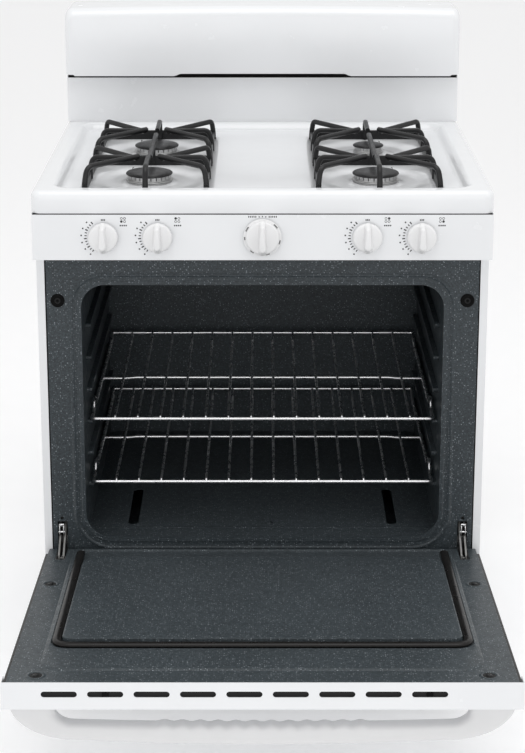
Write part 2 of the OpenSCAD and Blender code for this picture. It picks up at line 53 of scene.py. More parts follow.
MM = 0.001
FACE_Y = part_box("front_frame")[0].y
BODY = Matrix.Translation((0, FACE_Y, 0)) @ Matrix.Scale(MM, 4)
HINGE = next(j for j in frame["joints"] if j["name"] == "door_hinge")
DOOR_ANGLE = math.radians(-HINGE["range_deg"][0])
# In the door, x runs along it, y points out of its inner face, and z runs from hinge to handle.
DOOR = (Matrix.Translation(HINGE["pos_m"]) @ Matrix.Rotation(DOOR_ANGLE, 4, "X")
        @ Matrix.Scale(MM, 4))


def limits(node, space=BODY):
    """A CAD node's lowest and highest corners, in the body's or the door's space."""
    back = space.inverted()
    points = [back @ v.co for v in frame["nodes"][node].data.vertices]
    low = Vector([min(p[i] for p in points) for i in range(3)])
    high = Vector([max(p[i] for p in points) for i in range(3)])
    return low, high


# ---- meshes ----

MERGE = 0.02  # points closer than this become one
TINY = 0.01  # stands for a radius of nothing
BLOCK_FLAT = 0.6


class Shape:
    """Vertices and faces in millimetres, gathered before they become one Blender mesh."""

    def __init__(self):
        self.points = []
        self.faces = []

    def add(self, points, faces):
        """Adds points, and faces that count from the first of them."""
        first = len(self.points)
        self.points += [tuple(p) for p in points]
        self.faces += [tuple(first + i for i in f) for f in faces]

    def loops(self, rings, cap_first=False, cap_last=False):
        """A skin over closed rings that all have the same number of points."""
        n = len(rings[0])
        faces = []
        for k in range(len(rings) - 1):
            for i in range(n):
                j = (i + 1) % n
                faces.append((k * n + i, k * n + j, (k + 1) * n + j, (k + 1) * n + i))
        if cap_first:
            faces.append(tuple(range(n - 1, -1, -1)))
        if cap_last:
            faces.append(tuple((len(rings) - 1) * n + i for i in range(n)))
        self.add([p for ring in rings for p in ring], faces)

    def build(self, name, space, body, slot, material=None, smooth=40, solid=0.0, facing=None):
        """Makes the mesh object, in its slot's material unless another is given.

        Edges turned by more than smooth degrees stay sharp. An open sheet is made solid millimetres
        thick, and its largest face looks towards facing.
        """
        mesh = bpy.data.meshes.new(name)
        mesh.from_pydata([space @ Vector(p) for p in self.points], [], self.faces)
        mesh.validate()
        sheet = bmesh.new()
        sheet.from_mesh(mesh)
        bmesh.ops.remove_doubles(sheet, verts=sheet.verts, dist=MERGE * MM)
        bmesh.ops.recalc_face_normals(sheet, faces=sheet.faces)
        largest = max(sheet.faces, key=lambda face: face.calc_area())
        if facing and largest.normal.dot(space.to_3x3() @ Vector(facing)) < 0:
            bmesh.ops.reverse_faces(sheet, faces=sheet.faces)
        for face in sheet.faces:
            face.smooth = True
        limit = math.radians(smooth)
        for edge in sheet.edges:
            edge.smooth = edge.is_manifold and edge.calc_face_angle() < limit
        sheet.to_mesh(mesh)
        sheet.free()
        mesh.materials.append(material or MATERIALS[slot])
        piece = bpy.data.objects.new(name, mesh)
        bpy.context.scene.collection.objects.link(piece)
        if solid:
            shell = piece.modifiers.new("thickness", "SOLIDIFY")
            shell.thickness = solid * MM
            shell.offset = -1
        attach(piece, body)
        return piece


def arc(centre, radius, start, stop, steps):
    """Points on a circle in a plane, the angles in degrees."""
    angles = [math.radians(start + (stop - start) * i / steps) for i in range(steps + 1)]
    return [(centre[0] + radius * math.cos(a), centre[1] + radius * math.sin(a)) for a in angles]


def rounded_rect(x0, x1, z0, z1, r_low, r_high, steps=8):
    """A rectangle with round corners, anticlockwise from its lower right corner."""
    return (arc((x1 - r_low, z0 + r_low), r_low, -90, 0, steps)
            + arc((x1 - r_high, z1 - r_high), r_high, 0, 90, steps)
            + arc((x0 + r_high, z1 - r_high), r_high, 90, 180, steps)
            + arc((x0 + r_low, z0 + r_low), r_low, 180, 270, steps))


def filleted(points, radius, steps=6):
    """A path with its corners rounded."""
    points = [Vector(p) for p in points]
    out = [points[0]]
    for before, corner, after in zip(points, points[1:], points[2:]):
        to_before, to_after = before - corner, after - corner
        cut = min(radius, to_before.length * 0.45, to_after.length * 0.45)
        start = corner + to_before.normalized() * cut
        end = corner + to_after.normalized() * cut
        for i in range(steps + 1):
            t = i / steps
            out.append(start * (1 - t) ** 2 + corner * 2 * t * (1 - t) + end * t ** 2)
    out.append(points[-1])
    return out


def sweep(shape, path, section, scale=lambda t: 1.0):
    """A closed bar: section's points, (across, up), carried along path without twisting."""
    path = [Vector(p) for p in path]
    rings = []
    side = None
    for i, p in enumerate(path):
        ahead = (path[min(i + 1, len(path) - 1)] - path[max(i - 1, 0)]).normalized()
        if side is None:
            up = Vector((0, 0, 1)) if abs(ahead.z) < 0.9 else Vector((0, 1, 0))
            side = ahead.cross(up).normalized()
        side = (side - ahead * side.dot(ahead)).normalized()
        up = side.cross(ahead)
        k = scale(i / (len(path) - 1))
        rings.append([p + side * a * k + up * b * k for a, b in section])
    shape.loops(rings, True, True)


def round_section(r, steps=12):
    """A round bar's section, without the last point that would repeat the first."""
    return arc((0, 0), r, 0, 360 - 360 / steps, steps - 1)


def rod(shape, points, r, bend=0.0, steps=12):
    """A round bar whose corners are bent to the radius bend."""
    path = filleted(points, bend) if bend else points
    sweep(shape, path, round_section(r, steps))


def lathe(shape, profile, centre, axis="Z", steps=64):
    """A turned form: profile's points are (radius, height), from the axis and back to it."""
    rings = []
    for r, h in profile:
        ring = []
        for i in range(steps):
            a = 2 * math.pi * i / steps
            u, v = r * math.cos(a), r * math.sin(a)
            ring.append(Vector(centre) + Vector((u, v, h) if axis == "Z" else (u, -h, v)))
        rings.append(ring)
    shape.loops(rings, True, True)


def flat_rings(outline, heights):
    """An (x, y) outline repeated at each height z."""
    return [[(x, y, z) for x, y in outline] for z in heights]


def upright_rings(outline, depths):
    """An (x, z) outline repeated at each depth y."""
    return [[(x, y, z) for x, z in outline] for y in depths]


def block(shape, low, high):
    """A box with a small flat on every edge."""
    c = min(BLOCK_FLAT, *[(b - a) / 4 for a, b in zip(low, high)])
    ring = rounded_rect(low[0], high[0], low[1], high[1], c, c, 2)
    inner = rounded_rect(low[0] + c, high[0] - c, low[1] + c, high[1] - c, TINY, TINY, 2)
    shape.loops(flat_rings(inner, (low[2],)) + flat_rings(ring, (low[2] + c, high[2] - c))
                + flat_rings(inner, (high[2],)), True, True)


def side_block(shape, side, near, far, low, high):
    """A block on one side, between two distances from the middle; low and high are (y, z)."""
    ends = sorted((side * near, side * far))
    block(shape, (ends[0], *low), (ends[1], *high))


def step(t):
    """0 below 0, 1 above 1, and smooth between."""
    t = np.clip(t, 0, 1)
    return t * t * (3 - 2 * t)


def rect_distance(x, y, x0, x1, y0, y1, r):
    """How far outside a rounded rectangle each point is; negative inside it."""
    dx = np.abs(x - (x0 + x1) / 2) - (x1 - x0) / 2 + r
    dy = np.abs(y - (y0 + y1) / 2) - (y1 - y0) / 2 + r
    outside = np.hypot(np.maximum(dx, 0), np.maximum(dy, 0))
    return outside + np.minimum(np.maximum(dx, dy), 0) - r


# ---- materials ----

class Nodes:
    """A short way to write a material's nodes; inputs may be values or other nodes' outputs."""

    def __init__(self, name):
        self.material = bpy.data.materials.new(name)
        self.material.use_nodes = True
        self.tree = self.material.node_tree
        self.shader = self.tree.nodes["Principled BSDF"]
        self.place = self.tree.nodes.new("ShaderNodeTexCoord").outputs["Object"]

    def node(self, kind, inputs, **settings):
        made = self.tree.nodes.new(kind)
        for key, value in settings.items():
            setattr(made, key, value)
        for key, value in inputs.items():
            self.put(made.inputs[key], value)
        return made

    def put(self, socket, value):
        if isinstance(value, bpy.types.NodeSocket):
            self.tree.links.new(value, socket)
        else:
            socket.default_value = value

    def set(self, **values):
        """Fills the shader's inputs; an underscore stands for a space in their names."""
        for key, value in values.items():
            self.put(self.shader.inputs[key.replace("_", " ")], value)

    def noise(self, scale, detail, rough=0.5, place=None):
        made = self.node("ShaderNodeTexNoise", {"Vector": place or self.place, "Scale": scale,
                                                "Detail": detail, "Roughness": rough})
        return made.outputs["Fac"]

    def cells(self, scale):
        """The outputs of a cell pattern, and three random numbers for each cell."""
        made = self.node("ShaderNodeTexVoronoi", {"Vector": self.place, "Scale": scale}).outputs
        return made, self.node("ShaderNodeSeparateColor", {"Color": made["Color"]}).outputs

    def stretched(self, x, y, z):
        inputs = {"Vector": self.place, "Scale": (x, y, z)}
        return self.node("ShaderNodeMapping", inputs).outputs["Vector"]

    def math(self, operation, a, b):
        return self.node("ShaderNodeMath", {0: a, 1: b}, operation=operation).outputs[0]

    def tones(self, value, colour, low, high=1.0, ends=(0.3, 0.7)):
        """A colour times low where value is at the first end, and times high at the second."""
        made = self.node("ShaderNodeValToRGB", {"Fac": value})
        for element, at, shade in zip(made.color_ramp.elements, ends, (low, high)):
            element.position = at
            element.color = (*(c * shade for c in colour), 1)
        return made.outputs["Color"]

    def mix(self, factor, a, b, blend="MIX"):
        inputs = {0: factor, 6: a, 7: b}
        return self.node("ShaderNodeMix", inputs, data_type="RGBA", blend_type=blend).outputs[2]

    def remap(self, value, low, high, out_low, out_high):
        made = self.node("ShaderNodeMapRange", {"Value": value, "From Min": low, "From Max": high,
                                                "To Min": out_low, "To Max": out_high})
        return made.outputs["Result"]

    def bump(self, height, strength, distance):
        inputs = {"Height": height, "Strength": strength, "Distance": distance}
        return self.node("ShaderNodeBump", inputs).outputs["Normal"]


def enamel(name, colour, rough, peel):
    """Glossy fired or painted enamel: faint tone clouds, orange peel and a little uneven gloss."""
    m = Nodes(name)
    clouds = m.noise(7, 4)
    m.set(Base_Color=m.tones(clouds, colour, 0.975),
          Roughness=m.remap(m.noise(30, 5), 0.3, 0.7, rough * 0.8, rough * 1.25),
          Normal=m.bump(m.noise(260, 2), peel, 0.0006),
          Coat_Weight=0.2, Coat_Roughness=0.12, IOR=1.5)
    return m.material


def speckled_enamel(name, colour, speck):
    """Dark oven enamel: a mottled ground, fine pale specks and a pebbled gloss."""
    m = Nodes(name)
    rough = 0.36
    cells, draw = m.cells(300)
    specks = m.remap(cells["Distance"], 0.12, 0.34, 1.0, 0.0)
    strength = m.remap(draw[0], 0.35, 1.0, 0.0, 0.8)
    shown = m.math("MULTIPLY", specks, strength)
    ground = m.tones(m.noise(300, 4, 0.7), colour, 0.55, 1.5)
    clouds = m.tones(m.noise(9, 3), (1, 1, 1), 0.86)
    tinted = m.mix(1.0, ground, clouds, "MULTIPLY")
    m.set(Base_Color=m.mix(shown, tinted, (*speck, 1)),
          Roughness=m.remap(m.noise(90, 4), 0.3, 0.7, rough * 0.8, rough * 1.25),
          Normal=m.bump(m.noise(420, 3), 0.3, 0.0006),
          Specular_IOR_Level=0.25, Coat_Weight=0.06, Coat_Roughness=0.15)
    return m.material


def plastic(name, colour, rough, grain=900, shine=0.5):
    """Moulded plastic, rubber, ink or ceramic; grain sets how fine its surface is."""
    m = Nodes(name)
    m.set(Base_Color=m.tones(m.noise(22, 3), colour, 0.97),
          Roughness=m.remap(m.noise(60, 4), 0.3, 0.7, rough * 0.85, rough * 1.15),
          Normal=m.bump(m.noise(grain, 2), 0.12, 0.0003), IOR=1.46, Specular_IOR_Level=shine)
    return m.material


def black_iron(name, colour, rough):
    """Porcelain over formed steel or cast iron: a soft grain, and paler, smoother patches."""
    m = Nodes(name)
    worn = m.noise(45, 6, 0.6)
    m.set(Base_Color=m.tones(worn, colour, 0.7, 1.25, (0.35, 0.75)),
          Roughness=m.remap(worn, 0.3, 0.7, rough * 1.2, rough * 0.8), Specular_IOR_Level=0.36,
          Normal=m.bump(m.noise(380, 4, 0.6), 0.35, 0.0006))
    return m.material


def metal(name, colour, rough, scale, grain=0.08):
    """Bare or plated metal with a fine uneven grain."""
    m = Nodes(name)
    uneven = m.noise(scale, 6, 0.65)
    m.set(Base_Color=m.tones(uneven, colour, 0.86),
          Metallic=1.0,
          Roughness=m.remap(uneven, 0.3, 0.7, rough * 0.75, rough * 1.35),
          Normal=m.bump(uneven, grain, 0.0004))
    return m.material


def galvanised(name, colour):
    """Zinc-coated sheet with its spangle."""
    m = Nodes(name)
    tone = m.cells(75)[1][0]
    m.set(Base_Color=m.tones(tone, colour, 0.8, 1.12, (0, 1)),
          Metallic=1.0,
          Roughness=m.remap(tone, 0, 1, 0.34, 0.5),
          Normal=m.bump(m.noise(300, 3), 0.08, 0.0004))
    return m.material


def wool(name, colour):
    """Matted glass fibres."""
    m = Nodes(name)
    fibres = m.noise(140, 8, 0.75, m.stretched(1, 1, 3))
    m.set(Base_Color=m.tones(fibres, colour, 0.65), Roughness=0.95,
          Normal=m.bump(fibres, 0.9, 0.003))
    return m.material


def braid(name, colour):
    """A woven glass sleeve: two sets of crossing threads."""
    m = Nodes(name)
    threads = []
    for slant in (1, -1):
        inputs = {"Vector": m.stretched(1, slant, 0.4), "Scale": 320, "Distortion": 0.6}
        wave = m.node("ShaderNodeTexWave", inputs, bands_direction="DIAGONAL")
        threads.append(wave.outputs["Fac"])
    weave = m.math("MAXIMUM", *threads)
    m.set(Base_Color=m.tones(weave, colour, 0.55, 1.3, (0.3, 0.9)),
          Roughness=0.9, Normal=m.bump(weave, 0.8, 0.0008))
    return m.material


# Every slot of the record has its material here. Two more are copies of a slot's material: a paler door porcelain
# that paints light on the door's inner face, and a darker handle plastic that paints shade on the handle.
MATERIALS = {name: make(name, *look) for make, name, *look in (
    (enamel, "white_enamel", (0.80, 0.81, 0.825), 0.22, 0.05),
    (enamel, "white_porcelain", (0.81, 0.82, 0.835), 0.14, 0.03),
    (speckled_enamel, "grey_porcelain", (0.038, 0.047, 0.053), (0.38, 0.42, 0.45)),
    # paler than grey_porcelain: painted light on the door's inner face
    (speckled_enamel, "door_porcelain", (0.050, 0.061, 0.068), (0.44, 0.48, 0.51)),
    (galvanised, "galvanised_steel", (0.52, 0.53, 0.54)),
    (plastic, "white_plastic", (0.80, 0.80, 0.805), 0.36),
    # darker than white_plastic: painted shade on the handle
    (plastic, "handle_plastic", (0.70, 0.70, 0.705), 0.36),
    (black_iron, "black_enamel", (0.009, 0.009, 0.0098), 0.36),
    (metal, "cast_aluminium", (0.62, 0.62, 0.62), 0.38, 260, 0.25),
    (metal, "chrome_wire", (0.90, 0.90, 0.91), 0.27, 60, 0.02),
    (metal, "zinc_steel", (0.19, 0.19, 0.185), 0.42, 200),
    (metal, "valve_brass", (0.62, 0.47, 0.22), 0.3, 160),
    (plastic, "ceramic", (0.74, 0.72, 0.68), 0.5, 500),
    (wool, "glass_wool", (0.62, 0.56, 0.34)),
    (braid, "braided_gasket", (0.030, 0.026, 0.024)),
    (plastic, "black_plastic", (0.010, 0.010, 0.010), 0.5, 900, 0.25),
)}
INK = plastic("panel_ink", (0.02, 0.02, 0.022), 0.6)
# A flat, dull black. It is the plugs' own colour and that of the catch bodies and slot ribs. It is also painted
# shade where it fills the openings under the lip, under the canopy, beside the frame and in the door's top seam.
BLACK_AND_SHADE = plastic("flat_black_and_painted_shade", (0.005, 0.005, 0.005), 0.8, shine=0.1)
SEAL = plastic("door_seal", (0.010, 0.009, 0.0085), 0.3, shine=0.3)


def dress_nodes():
    """Every CAD node takes its slot's material, but the hinge arms are dull zinc, not chrome."""
    for part in frame["record"]["subparts"]:
        node = frame["nodes"][part["node"]]
        node.data.materials.clear()
        node.data.materials.append(MATERIALS[part["material_slot"]])
    frame["nodes"]["hinge_arms"].data.materials[0] = MATERIALS["zinc_steel"]


def soften(width, *nodes):
    """Rounds the hard edges of CAD nodes by width millimetres."""
    for name in nodes:
        bevel = frame["nodes"][name].modifiers.new("soft_edges", "BEVEL")
        bevel.width = width * MM
        bevel.segments = 3
        bevel.limit_method = "ANGLE"
        bevel.angle_limit = math.radians(50)
        bevel.harden_normals = True


# ---- camera, light and floor ----

CAMERA_BACK = 2.934  # metres in front of the front frame
CAMERA_UP = 1.606
CAMERA_TILT = 14.406  # degrees below level
LENS = 87.19
SENSOR = 36
SHIFT = -0.2
WORLD_STRENGTH = 0.8
FLOOR_GLOW = 0.14
FLOOR_HALF = 30
# each light's name, place, target, width, height and power
LIGHTS = (("top_softbox", (0.2, -0.6, 3.4), (0, 0, 0.6), 2.4, 2.0, 29),
          ("left_softbox", (-3.0, -2.2, 1.9), (0, 0, 0.6), 1.6, 2.2, 5),
          ("right_softbox", (3.0, -2.6, 1.5), (0, 0, 0.5), 1.4, 2.0, 3),
          ("front_fill", (0, -3.4, 0.9), (0, 0, 0.55), 2.0, 1.2, 9))


def add_camera():
    data = bpy.data.cameras.new("camera")
    camera = bpy.data.objects.new("camera", data)
    bpy.context.scene.collection.objects.link(camera)
    bpy.context.scene.camera = camera
    data.sensor_width = SENSOR
    data.lens = LENS
    data.shift_y = SHIFT
    camera.location = (0, FACE_Y - CAMERA_BACK, CAMERA_UP)
    camera.rotation_euler = (math.radians(90 - CAMERA_TILT), 0, 0)


def add_light(name, place, target, width, height, power):
    data = bpy.data.lights.new(name, "AREA")
    data.shape = "RECTANGLE"
    data.size = width
    data.size_y = height
    data.energy = power
    light = bpy.data.objects.new(name, data)
    bpy.context.scene.collection.objects.link(light)
    light.location = place
    light.rotation_mode = "QUATERNION"
    light.rotation_quaternion = (Vector(place) - Vector(target)).to_track_quat("Z", "Y")


def add_studio():
    """An even white world, four soft lights and a pale floor that glows a little."""
    scene = bpy.context.scene
    scene.view_settings.view_transform = "Standard"
    world = bpy.data.worlds.new("studio")
    scene.world = world
    world.use_nodes = True
    background = world.node_tree.nodes["Background"]
    background.inputs["Color"].default_value = (1, 1, 1, 1)
    background.inputs["Strength"].default_value = WORLD_STRENGTH
    for light in LIGHTS:
        add_light(*light)
    mesh = bpy.data.meshes.new("studio_floor")
    corners = [(x * FLOOR_HALF, y * FLOOR_HALF, 0) for x, y in ((-1, -1), (1, -1), (1, 1), (-1, 1))]
    mesh.from_pydata(corners, [], [(0, 1, 2, 3)])
    pale = plastic("pale_floor", (0.93, 0.93, 0.935), 0.8)
    glow = pale.node_tree.nodes["Principled BSDF"].inputs
    glow["Emission Color"].default_value = (1, 1, 1, 1)
    glow["Emission Strength"].default_value = FLOOR_GLOW
    mesh.materials.append(pale)
    floor = bpy.data.objects.new("studio_floor", mesh)
    scene.collection.objects.link(floor)


# ---- cooktop ----

BURNER_X = 194
BURNER_Y = (117, 348)
DECK_Z = 909
DECK = (-346, 346, -14, 536)
DECK_CORNER = 30
DECK_SLOPE = 15
PANEL_HALF = 111
PANEL_Y = (-3, 467)
PANEL_CORNER = 14
PANEL_SLOPE = 7
PANEL_SINK = 4.5
DISH_R = 104
DISH_SLOPE = 34
DISH_SINK = 4.5
BOSS_R = 47
BOSS_SLOPE = 5
BOSS_RISE = 1.6
GRID_PITCH = 4.0
TOP_FILLET = 11
FRONT_CORNER = 15
SKIRT = ((1.2, 0), (0.3, 0.4), (0, 1.4))  # height above the lip's edge, and how far inward


def edge_grid(low, high, round_low, round_high, pitch):
    """Grid lines from low to high that crowd together over the rounded ends."""
    quarter = np.linspace(0, math.pi / 2, 8)
    lines = [low + round_low * (1 - math.cos(a)) for a in quarter] if round_low else [low]
    inner_low = low + round_low
    inner_high = high - round_high
    count = int((inner_high - inner_low) / pitch)
    lines += list(np.linspace(inner_low, inner_high, count + 1)[1:])
    if round_high:
        lines += [high - round_high * (1 - math.sin(a)) for a in quarter[1:]]
    return lines


def round_front_corners(grid_x, grid_y, right, front):
    """The grid with its two front corners drawn round, and each point's distance from the edge."""
    r = FRONT_CORNER
    u = np.clip((np.abs(grid_x) - (right - r)) / r, 0, 1)
    v = np.clip(((front + r) - grid_y) / r, 0, 1)
    both = (u > 0) & (v > 0)
    round_u = np.where(both, u * np.sqrt(1 - v * v / 2), u)
    round_v = np.where(both, v * np.sqrt(1 - u * u / 2), v)
    x = np.where(u > 0, np.sign(grid_x) * (right - r + r * round_u), grid_x)
    y = np.where(v > 0, front + r - r * round_v, grid_y)
    edge = np.minimum(right - np.abs(x), y - front)
    edge = np.where(both, r - r * np.hypot(round_u, round_v), edge)
    return x, y, np.maximum(edge, 0)


def cooktop_height(x, y, edge, crest):
    """The pressed top: rim, sunk deck, a sunk panel for each grate and a dish for each burner."""
    over = np.clip(TOP_FILLET - edge, 0, TOP_FILLET)
    z = crest - (TOP_FILLET - np.sqrt(np.maximum(TOP_FILLET ** 2 - over ** 2, 0)))
    deck = rect_distance(x, y, *DECK, DECK_CORNER)
    z -= (crest - DECK_Z) * step(-deck / DECK_SLOPE)
    for side in (-1, 1):
        middle = side * BURNER_X
        panel = rect_distance(x, y, middle - PANEL_HALF, middle + PANEL_HALF, *PANEL_Y,
                              PANEL_CORNER)
        z -= PANEL_SINK * step(-panel / PANEL_SLOPE)
        for burner_y in BURNER_Y:
            far = np.hypot(x - middle, y - burner_y)
            z -= DISH_SINK * step((DISH_R - far) / DISH_SLOPE)
            z += BOSS_RISE * step((BOSS_R - far) / BOSS_SLOPE)
    return z


def grid_border(rows, columns):
    """The indices of a grid's outermost points, once round."""
    return ([(0, c) for c in range(columns)]
            + [(r, columns - 1) for r in range(1, rows)]
            + [(rows - 1, c) for c in range(columns - 2, -1, -1)]
            + [(r, 0) for r in range(rows - 2, 0, -1)])


def build_cooktop():
    """The pressed porcelain top, with a skirt that turns under all round."""
    low, high = limits("cooktop")
    xs = edge_grid(low.x, high.x, TOP_FILLET, TOP_FILLET, GRID_PITCH)
    ys = edge_grid(low.y, high.y, TOP_FILLET, 0, GRID_PITCH)
    x, y, edge = round_front_corners(*np.meshgrid(np.array(xs), np.array(ys)), high.x, low.y)
    z = cooktop_height(x, y, edge, high.z)
    rows, columns = x.shape
    shape = Shape()
    corners = [r * columns + c for r in range(rows - 1) for c in range(columns - 1)]
    shape.add(zip(x.ravel(), y.ravel(), z.ravel()),
              [(k, k + 1, k + columns + 1, k + columns) for k in corners])
    rings = [[(x[i], y[i], z[i]) for i in grid_border(rows, columns)]]
    for level, inward in SKIRT:
        rings.append([(px * (1 - inward / high.x), py + (inward if py < 0 else 0), low.z + level)
                      for px, py, _ in rings[0]])
    # each quad starts at its upper far corner, which sets the way that it is halved
    n = len(rings[0])
    shape.add([p for ring in rings for p in ring],
              [(k + (i + 1) % n, k + i, k + n + i, k + n + (i + 1) % n)
               for k in range(0, len(SKIRT) * n, n) for i in range(n)])
    piece = shape.build("cooktop_pressing", BODY, "range_body", "white_porcelain",
                        smooth=60, solid=1.6, facing=(0, 0, 1))
    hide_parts("cooktop")


# ---- burners ----

CAPS = ("front_left", "front_right", "rear_left", "rear_right")
CAP_TALL = 5  # from the profile's zero to its top
PORTS = 24
TOOTH = 0.84  # the part of a port's pitch that is tooth
BAND_BELOW = 6.5  # from the teeth's tops down to the band


def burner_centre(name):
    """Where a burner's axis stands, (x, y)."""
    return (BURNER_X if "right" in name else -BURNER_X, BURNER_Y["rear" in name])


def burner_head(shape, x, y, r, top):
    """A ring with flame ports: teeth above a plain band, standing on a wider flange."""
    bottom = DECK_Z - 4.6
    band = top - BAND_BELOW
    lathe(shape, [(13, bottom + 1), (r + 3.4, bottom + 1), (r + 3.8, bottom + 1.6),
                  (r + 3.4, bottom + 2.4), (r + 0.4, bottom + 3.2), (r, bottom + 4.5), (r, band),
                  (r - 9, band), (r - 9, band - 3), (13, band - 3)], (x, y, 0), steps=84)
    half = math.pi / PORTS * TOOTH
    for i in range(PORTS):
        middle = 2 * math.pi * i / PORTS
        ring = []
        for radius, side in ((r, -1), (r, 1), (r - 8, 1), (r - 8, -1)):
            a = middle + side * half
            ring.append((x + radius * math.cos(a), y + radius * math.sin(a)))
        shape.loops(flat_rings(ring, (band - 0.2, top)), True, True)


def build_burners():
    """A crowned cap on every burner, and the castings under the caps."""
    heads = Shape()
    for name in CAPS:
        node = f"burner_cap_{name}"
        x, y = burner_centre(name)
        low, high = limits(node)
        r = (high.x - low.x) / 2
        z = high.z - CAP_TALL
        cap = Shape()
        lathe(cap, [(TINY, -5), (9, -5), (9, -0.2), (r - 1.2, -0.2), (r - 0.4, 0.2), (r, 1.0),
                    (r - 0.2, 1.9), (r - 1.2, 2.8), (r - 3.5, 3.6), (r - 9, 4.3), (r * 0.5, 4.8),
                    (TINY, CAP_TALL)], (x, y, z), steps=96)
        piece = cap.build(f"cap_{name}", BODY, node, "black_enamel")
        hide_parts(f"burner_cap_{name}")
        burner_head(heads, x, y, r - 3.4, z - 0.6)
    piece = heads.build("burner_head_castings", BODY, "range_body", "cast_aluminium", smooth=35)
    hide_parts("burner_heads")


def build_electrodes():
    """A slim ceramic post and its metal pin beside every burner."""
    posts, pins = Shape(), Shape()
    for name in CAPS:
        x, y = burner_centre(name)
        low, high = limits(f"burner_cap_{name}")
        reach = ((high.x - low.x) / 2 + 3.5) * 0.7
        side = 1 if x > 0 else -1
        px, py = x + side * reach, y + reach
        lathe(posts, [(TINY, -5), (2.3, -5), (2.3, 2), (1.9, 2.6), (1.9, 6), (1.2, 6.8), (TINY, 7)],
              (px, py, DECK_Z), steps=20)
        rod(pins, [(px, py, DECK_Z + 6), (px, py, DECK_Z + 10),
                   (px - side * 2.2, py - 2.2, DECK_Z + 10.4)], 0.6, 1.2, 8)
    piece = posts.build("electrode_posts", BODY, "range_body", "ceramic", smooth=50)
    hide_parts("spark_electrodes")
    pins.build("electrode_pins", BODY, "range_body", "zinc_steel", smooth=50)


# ---- grates ----

GRATE_HALF = 101
GRATE_ENDS = (8, 231, 458)
WEB_LOW = 904.6
WEB_HIGH = 922
FRONT_WEB_HIGH = 914
WEB_THICK = 5.0
FINGER_BAR = (9.8, 10.4)
FINGER_TAPER = 0.16
MIDDLE_BAR = (8.6, 8.6)
BURNER_GAP = 19  # from a burner's axis to the tips of its fingers
NEAR_ROWS = (18, 216)  # where the slanted fingers of the front and the rear burner start
FAR_ROWS = (242, 453)


def bar_section(width, height):
    """A bar's section with round corners, centred across and hanging from its top."""
    r = min(width, height) * 0.36
    outline = rounded_rect(-width / 2, width / 2, -height / 2, height / 2, r, r, 3)
    return [(a, b - height / 2) for a, b in outline]


def grate_finger(shape, foot, tip, top):
    """A bar that rises from the frame, bends over and reaches to the burner, thinner at its tip."""
    foot, tip = Vector((*foot, 0)), Vector((*tip, 0))
    lean = foot + (tip - foot).normalized() * 5
    path = filleted([(foot.x, foot.y, WEB_LOW + 3), (foot.x, foot.y, WEB_HIGH),
                     (lean.x, lean.y, top), (tip.x, tip.y, top - 1.2)], 12, 7)
    sweep(shape, path, bar_section(*FINGER_BAR), lambda t: 1.0 - FINGER_TAPER * t)


def grate_web(shape, a, b, top=WEB_HIGH):
    """A flat strip of the grate's frame that stands on edge."""
    start, end = Vector((*a, top)), Vector((*b, top))
    path = [start.lerp(end, t / 6) for t in range(7)]
    sweep(shape, path, bar_section(WEB_THICK, top - WEB_LOW))


def build_grate(name, centre_x):
    """A grate over two burners: webs round and across it, fingers, a long middle bar and feet."""
    top = limits(name)[1].z
    shape = Shape()
    front, middle, rear = GRATE_ENDS
    near, far = BURNER_Y
    for side in (-GRATE_HALF, GRATE_HALF):
        grate_web(shape, (side, front - 2), (side, rear + 2))
    grate_web(shape, (-GRATE_HALF, front), (GRATE_HALF, front), FRONT_WEB_HIGH)
    for y in (middle, rear):
        grate_web(shape, (-GRATE_HALF, y), (GRATE_HALF, y))
    for burner_y, rows in ((near, NEAR_ROWS), (far, FAR_ROWS)):
        for s in (-1, 1):
            side = s * GRATE_HALF
            grate_finger(shape, (side, burner_y), (s * BURNER_GAP, burner_y), top)
            grate_finger(shape, (side, rows[0]), (s * 20, burner_y - 8), top)
            grate_finger(shape, (side, rows[1]), (s * 20, burner_y + 8), top)
    grate_finger(shape, (0, front), (0, near - BURNER_GAP), top)
    grate_finger(shape, (0, rear), (0, far + BURNER_GAP), top)
    path = filleted([(0, near + BURNER_GAP, top - 1.5), (0, middle, top),
                     (0, far - BURNER_GAP, top - 1.5)], 60, 5)
    sweep(shape, path, bar_section(*MIDDLE_BAR))
    sweep(shape, [(0, middle, WEB_LOW + 4), (0, middle, top - 4)], round_section(4.2))
    for side in (-GRATE_HALF, GRATE_HALF):
        for y in (front, rear):
            lathe(shape, [(TINY, -0.1), (4.6, 0), (5.4, 1), (5, 4), (TINY, 5)],
                  (side, y, WEB_LOW), steps=20)
    shape.points = [(px + centre_x, py, pz) for px, py, pz in shape.points]
    piece = shape.build(f"{name}_casting", BODY, name, "black_enamel", smooth=50)
    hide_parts(name)


# ---- backguard ----

CANOPY_END = 14
CANOPY_FRONT = 20
CANOPY_CROWN = 5
CANOPY_LIP = 0.6
VENT_HALF = 170
VENT_NOTCH = 4.6
END_NOTCH_X = 360
END_NOTCH = 2.4
# extra stations where the lower edge steps up over the vent, and again at the ends
CANOPY_STEPS = (156, 160, 165, 170, 360, 361.5, 363)


